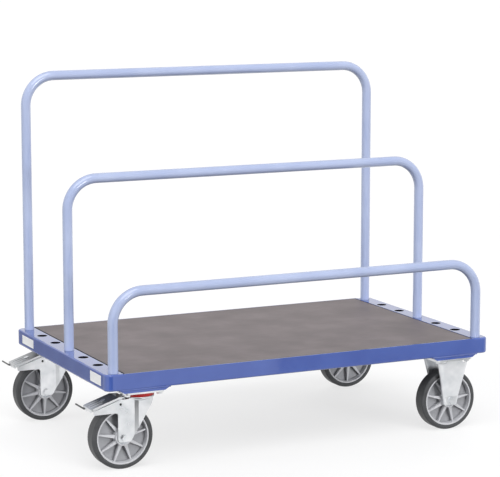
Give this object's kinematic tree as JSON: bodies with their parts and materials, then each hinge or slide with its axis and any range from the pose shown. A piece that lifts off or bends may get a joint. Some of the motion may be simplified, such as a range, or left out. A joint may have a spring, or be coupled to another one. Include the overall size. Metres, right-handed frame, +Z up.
{
  "type": "drywall cart",
  "caption": "Low steel panel cart with a wood deck, loose tube hoops in rows of end sockets, braked swivel casters at one end and fixed casters at the other.",
  "frame": {"origin": "on the floor under the middle of the platform", "axes": "+X along the platform towards the fixed casters, +Y across it towards the tall hoop, +Z up"},
  "size_m": [1.393, 0.841, 1.167],
  "materials": {
    "frame_paint": "blue powder coat, satin",
    "hoop_paint": "light blue powder coat, satin",
    "deck_film": "film-faced plywood, matt grey-brown",
    "zinc": "bright zinc plate on pressed steel",
    "bearing_steel": "ground steel",
    "seal": "red moulded ring",
    "socket_coat": "dark blue powder coat inside the sockets",
    "lever_black": "black coated steel, satin",
    "rim": "grey moulded polyamide",
    "tyre": "grey thermoplastic rubber"
  },
  "bodies": {
    "platform": {"near_side_rail": "frame_paint", "far_side_rail": "frame_paint", "swivel_end_rail": "frame_paint", "fixed_end_rail": "frame_paint", "swivel_end_sockets": "socket_coat", "fixed_end_sockets": "socket_coat", "swivel_end_bearers": "frame_paint", "fixed_end_bearers": "frame_paint", "middle_bearers": "frame_paint", "swivel_bridges": "frame_paint", "fixed_bridges": "frame_paint", "deck_board": "deck_film", "caster_bolts": "zinc", "caster_nuts": "zinc", "kingpins": "zinc", "kingpin_nuts": "zinc", "near_swivel_plate": "zinc", "far_swivel_plate": "zinc", "near_fixed_bracket": "zinc", "far_fixed_bracket": "zinc", "fixed_axle_bolts": "zinc", "fixed_axle_nuts": "zinc", "fixed_axle_sleeves": "bearing_steel"},
    "near_swivel_fork": {"near_fork": "zinc", "near_ball_race": "bearing_steel", "near_seal_ring": "seal", "near_pivot_pin": "lever_black", "near_axle_bolt": "zinc", "near_axle_nut": "zinc", "near_axle_sleeve": "bearing_steel"},
    "near_swivel_wheel": {"near_swivel_rim": "rim", "near_swivel_tyre": "tyre", "near_swivel_bearings": "bearing_steel"},
    "near_brake": {"near_brake_pedal": "zinc", "near_brake_shoe": "bearing_steel", "near_release_lever": "lever_black"},
    "far_swivel_fork": {"far_fork": "zinc", "far_ball_race": "bearing_steel", "far_seal_ring": "seal", "far_pivot_pin": "lever_black", "far_axle_bolt": "zinc", "far_axle_nut": "zinc", "far_axle_sleeve": "bearing_steel"},
    "far_swivel_wheel": {"far_swivel_rim": "rim", "far_swivel_tyre": "tyre", "far_swivel_bearings": "bearing_steel"},
    "far_brake": {"far_brake_pedal": "zinc", "far_brake_shoe": "bearing_steel", "far_release_lever": "lever_black"},
    "near_fixed_wheel": {"near_fixed_rim": "rim", "near_fixed_tyre": "tyre", "near_fixed_bearings": "bearing_steel"},
    "far_fixed_wheel": {"far_fixed_rim": "rim", "far_fixed_tyre": "tyre", "far_fixed_bearings": "bearing_steel"},
    "tall_hoop": {"tall_hoop": "hoop_paint"},
    "middle_hoop": {"middle_hoop": "hoop_paint"},
    "low_hoop": {"low_hoop": "hoop_paint"}
  },
  "joints": [
    {"name": "near_swivel", "type": "hinge", "parent": "platform", "child": "near_swivel_fork", "pos_m": [-0.547, -0.345, 0.226], "axis": [0, 0, 1], "continuous": true},
    {"name": "near_swivel_wheel_spin", "type": "hinge", "parent": "near_swivel_fork", "child": "near_swivel_wheel", "pos_m": [-0.607, -0.345, 0.1], "axis": [0, 1, 0], "continuous": true},
    {"name": "near_brake_pivot", "type": "hinge", "parent": "near_swivel_fork", "child": "near_brake", "pos_m": [-0.6184, -0.345, 0.206], "axis": [0, 1, 0], "range_deg": [0, 10]},
    {"name": "far_swivel", "type": "hinge", "parent": "platform", "child": "far_swivel_fork", "pos_m": [-0.547, 0.345, 0.226], "axis": [0, 0, 1], "continuous": true},
    {"name": "far_swivel_wheel_spin", "type": "hinge", "parent": "far_swivel_fork", "child": "far_swivel_wheel", "pos_m": [-0.607, 0.345, 0.1], "axis": [0, 1, 0], "continuous": true},
    {"name": "far_brake_pivot", "type": "hinge", "parent": "far_swivel_fork", "child": "far_brake", "pos_m": [-0.6184, 0.345, 0.206], "axis": [0, 1, 0], "range_deg": [0, 10]},
    {"name": "near_fixed_wheel_spin", "type": "hinge", "parent": "platform", "child": "near_fixed_wheel", "pos_m": [0.547, -0.345, 0.1], "axis": [0, 1, 0], "continuous": true},
    {"name": "far_fixed_wheel_spin", "type": "hinge", "parent": "platform", "child": "far_fixed_wheel", "pos_m": [0.547, 0.345, 0.1], "axis": [0, 1, 0], "continuous": true},
    {"name": "tall_hoop_lift", "type": "slide", "parent": "platform", "child": "tall_hoop", "axis": [0, 0, 1], "range_m": [0, 0.197]},
    {"name": "middle_hoop_lift", "type": "slide", "parent": "platform", "child": "middle_hoop", "axis": [0, 0, 1], "range_m": [0, 0.197]},
    {"name": "low_hoop_lift", "type": "slide", "parent": "platform", "child": "low_hoop", "axis": [0, 0, 1], "range_m": [0, 0.197]}
  ]
}
